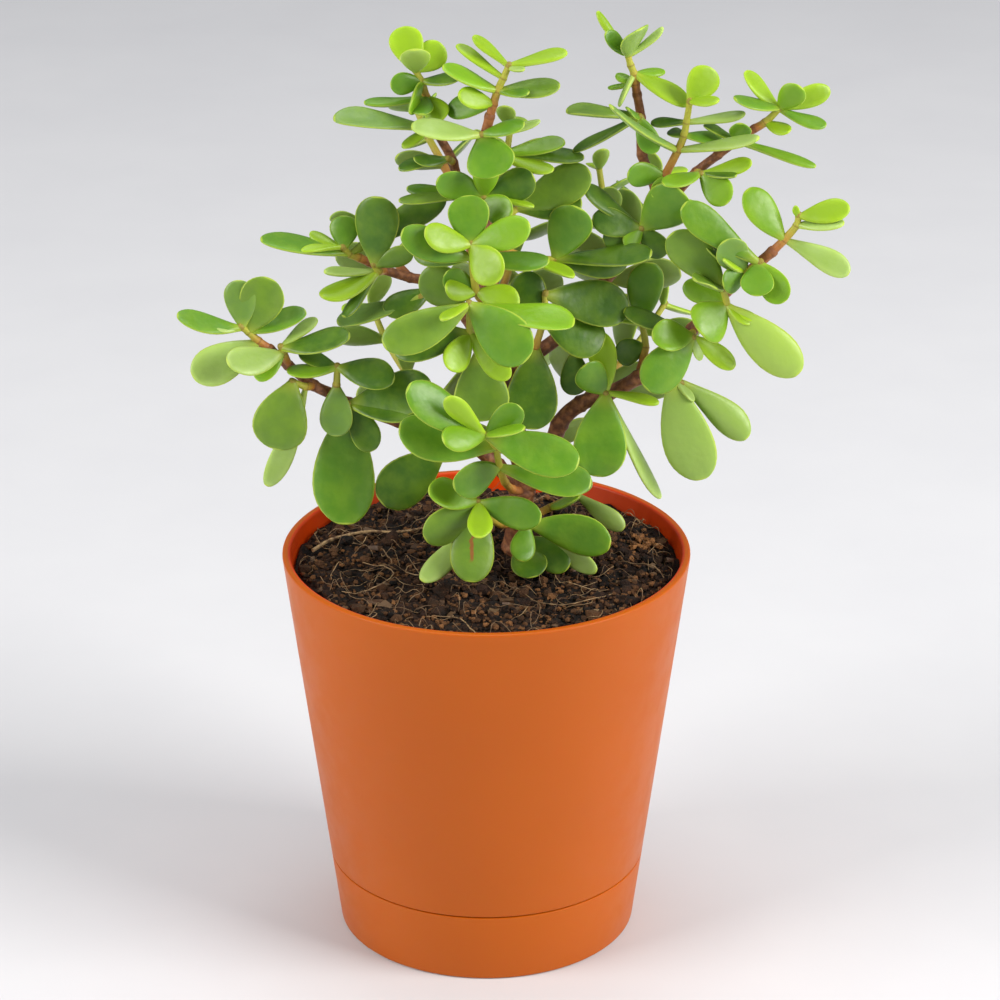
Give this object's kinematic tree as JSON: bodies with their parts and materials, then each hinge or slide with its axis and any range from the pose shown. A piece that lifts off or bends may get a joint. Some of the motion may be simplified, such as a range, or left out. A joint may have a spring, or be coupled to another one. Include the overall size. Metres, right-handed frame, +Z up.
{
  "type": "potted jade plant",
  "caption": "Small-leaved jade plant with a forked woody stem and fleshy oval leaves, in a tapered plastic pot with a clip-on drip tray.",
  "frame": {"origin": "centre of the drip tray's flat underside, on the surface that the pot stands on", "axes": "+Z up, +X to the right as seen from the front, which is the -Y side"},
  "size_m": [0.1735, 0.1098, 0.255],
  "materials": {
    "orange_plastic": "satin moulded polypropylene",
    "potting_soil": "damp coir potting mix with fibres",
    "jade_wood": "reddish brown succulent bark",
    "jade_leaf": "waxy succulent leaf, soft sheen"
  },
  "bodies": {
    "root": {"drip_tray": "orange_plastic", "pot_shell": "orange_plastic", "potting_soil": "potting_soil", "trunk": "jade_wood", "centre_branch": "jade_wood", "left_low_branch": "jade_wood", "left_branch": "jade_wood", "top_left_branch": "jade_wood", "right_branch": "jade_wood", "top_right_branch": "jade_wood", "far_right_branch": "jade_wood", "left_low_tip": "jade_leaf", "left_low_upper": "jade_leaf", "left_low_twig": "jade_leaf", "left_low_hanging": "jade_leaf", "left_low_drooping": "jade_leaf", "left_low_inner": "jade_leaf", "left_tip": "jade_leaf", "left_upper": "jade_leaf", "left_inner": "jade_leaf", "top_left_tip": "jade_leaf", "top_left_upper": "jade_leaf", "top_left_lower": "jade_leaf", "top_centre_tip": "jade_leaf", "top_centre_upper": "jade_leaf", "top_centre_right": "jade_leaf", "top_centre_lower": "jade_leaf", "top_centre_rear": "jade_leaf", "centre_right_upper": "jade_leaf", "centre_upper": "jade_leaf", "centre_front": "jade_leaf", "centre_right": "jade_leaf", "centre_right_low": "jade_leaf", "right_tip": "jade_leaf", "right_upper": "jade_leaf", "right_hanging": "jade_leaf", "right_lower": "jade_leaf", "right_lower_hanging": "jade_leaf", "right_foot": "jade_leaf", "right_inner": "jade_leaf", "top_right_inner": "jade_leaf", "top_right_second": "jade_leaf", "top_right_tip": "jade_leaf", "top_right_middle": "jade_leaf", "far_right_tip": "jade_leaf", "far_right_middle": "jade_leaf", "far_right_lower": "jade_leaf", "front_rosette": "jade_leaf", "front_low": "jade_leaf", "front_low_right": "jade_leaf", "low_right": "jade_leaf", "back_top": "jade_leaf", "back_top_left": "jade_leaf", "back_middle": "jade_leaf", "back_left": "jade_leaf", "back_left_low": "jade_leaf", "back_low": "jade_leaf", "back_right_low": "jade_leaf", "back_right": "jade_leaf", "back_top_right": "jade_leaf"}
  },
  "joints": []
}
